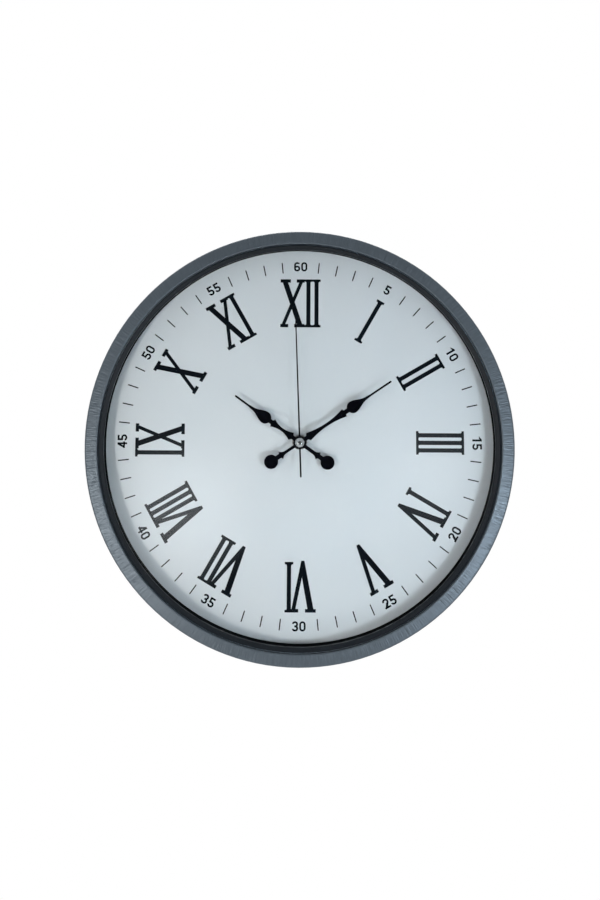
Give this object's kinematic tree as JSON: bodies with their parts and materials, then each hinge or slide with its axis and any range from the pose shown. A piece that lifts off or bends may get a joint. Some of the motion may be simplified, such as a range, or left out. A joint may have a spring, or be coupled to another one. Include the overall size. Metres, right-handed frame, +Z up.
{
  "type": "wall clock",
  "caption": "Round analogue wall clock with a grey brushed rim, black inner step, white Roman dial, spade hands and a quartz movement behind a screwed back cover.",
  "frame": {"origin": "centre of the hanging hole, on the back face that rests on the wall", "axes": "+Z up, the dial faces -Y, the wall is the plane Y = 0, +X to the right seen from the front"},
  "size_m": [0.35, 0.046, 0.35],
  "materials": {
    "brushed_grey": "grey-blue metallic lacquer with fine radial brush lines",
    "dark_grey_ring": "dark grey satin",
    "glass": "clear, polished",
    "gloss_black": "glossy black",
    "dial_white": "cool white, satin",
    "ink": "blue-black print",
    "moulded_black": "fine moulded grain",
    "movement_black": "moulded, satin",
    "screw_steel": "zinc plated",
    "plated_steel": "nickel plated",
    "brass": "turned",
    "copper_wire": "enamelled copper wire, wound",
    "magnet": "sintered, dark",
    "white_nylon": "natural moulded",
    "knob_plastic": "off-white moulded, ribbed edge",
    "rubber": "matt",
    "board": "green solder mask",
    "hand_black": "black satin lacquer",
    "bright_cap": "polished",
    "battery_metal": "drawn metal",
    "battery_wrap": "plain printed film"
  },
  "bodies": {
    "root": {"bezel_frame": "brushed_grey", "lens_ring": "dark_grey_ring", "front_glass": "glass", "dial_spacer": "gloss_black", "dial_plate": "dial_white", "hour_numerals": "ink", "minute_scale": "ink", "back_cover": "moulded_black", "cover_screws": "screw_steel", "movement_front_case": "movement_black", "movement_rear_case": "movement_black", "train_bridge": "white_nylon", "threaded_bushing": "brass", "rubber_washer": "rubber", "steel_washer": "screw_steel", "mounting_nut": "plated_steel", "circuit_board": "board", "quartz_crystal": "plated_steel", "chip_cover": "gloss_black", "coil_bobbin": "white_nylon", "drive_coil": "copper_wire", "coil_core": "plated_steel", "stator": "plated_steel", "positive_contact": "plated_steel", "negative_contact": "plated_steel"},
    "rotor": {"rotor_magnet": "magnet", "rotor_pinion": "white_nylon"},
    "intermediate": {"intermediate_wheel": "white_nylon"},
    "second": {"seconds_wheel": "white_nylon", "second_hand": "hand_black", "second_hand_bush": "plated_steel", "second_hand_cap": "bright_cap"},
    "third": {"third_wheel": "white_nylon"},
    "centre": {"centre_wheel": "white_nylon"},
    "minute": {"cannon_pinion": "brass", "minute_hand": "hand_black", "minute_hand_bush": "plated_steel"},
    "motion": {"motion_wheel": "white_nylon", "setting_knob": "knob_plastic"},
    "hour": {"hour_wheel": "brass", "hour_hand": "hand_black", "hour_hand_bush": "plated_steel"},
    "battery": {"battery_can": "battery_metal", "battery_sleeve": "battery_wrap", "battery_terminal": "battery_metal"}
  },
  "joints": [
    {"name": "second_hand_spin", "type": "hinge", "parent": "root", "child": "second", "pos_m": [0, 0, -0.13], "axis": [0, 1, 0], "continuous": true},
    {"name": "rotor_spin", "type": "hinge", "parent": "root", "child": "rotor", "pos_m": [-0.00909, 0, -0.11395], "axis": [0, 1, 0], "continuous": true},
    {"name": "intermediate_spin", "type": "hinge", "parent": "root", "child": "intermediate", "pos_m": [-0.00909, 0, -0.12475], "axis": [0, 1, 0], "continuous": true},
    {"name": "third_spin", "type": "hinge", "parent": "root", "child": "third", "pos_m": [0.0051, 0, -0.12117], "axis": [0, 1, 0], "continuous": true},
    {"name": "centre_spin", "type": "hinge", "parent": "root", "child": "centre", "pos_m": [0, 0, -0.13], "axis": [0, 1, 0], "continuous": true},
    {"name": "minute_hand_spin", "type": "hinge", "parent": "root", "child": "minute", "pos_m": [0, 0, -0.13], "axis": [0, 1, 0], "continuous": true},
    {"name": "motion_spin", "type": "hinge", "parent": "root", "child": "motion", "pos_m": [0.01064, 0, -0.13188], "axis": [0, 1, 0], "continuous": true},
    {"name": "hour_hand_spin", "type": "hinge", "parent": "root", "child": "hour", "pos_m": [0, 0, -0.13], "axis": [0, 1, 0], "continuous": true},
    {"name": "battery_slide", "type": "slide", "parent": "root", "child": "battery", "axis": [0, 1, 0], "range_m": [0, 0.03]}
  ],
  "couplings": [
    {"joint": "rotor_spin", "follows": "second_hand_spin", "ratio": 30},
    {"joint": "intermediate_spin", "follows": "second_hand_spin", "ratio": -6},
    {"joint": "third_spin", "follows": "second_hand_spin", "ratio": -0.13333},
    {"joint": "centre_spin", "follows": "second_hand_spin", "ratio": 0.016667},
    {"joint": "motion_spin", "follows": "minute_hand_spin", "ratio": -0.33333},
    {"joint": "hour_hand_spin", "follows": "minute_hand_spin", "ratio": 0.083333}
  ]
}
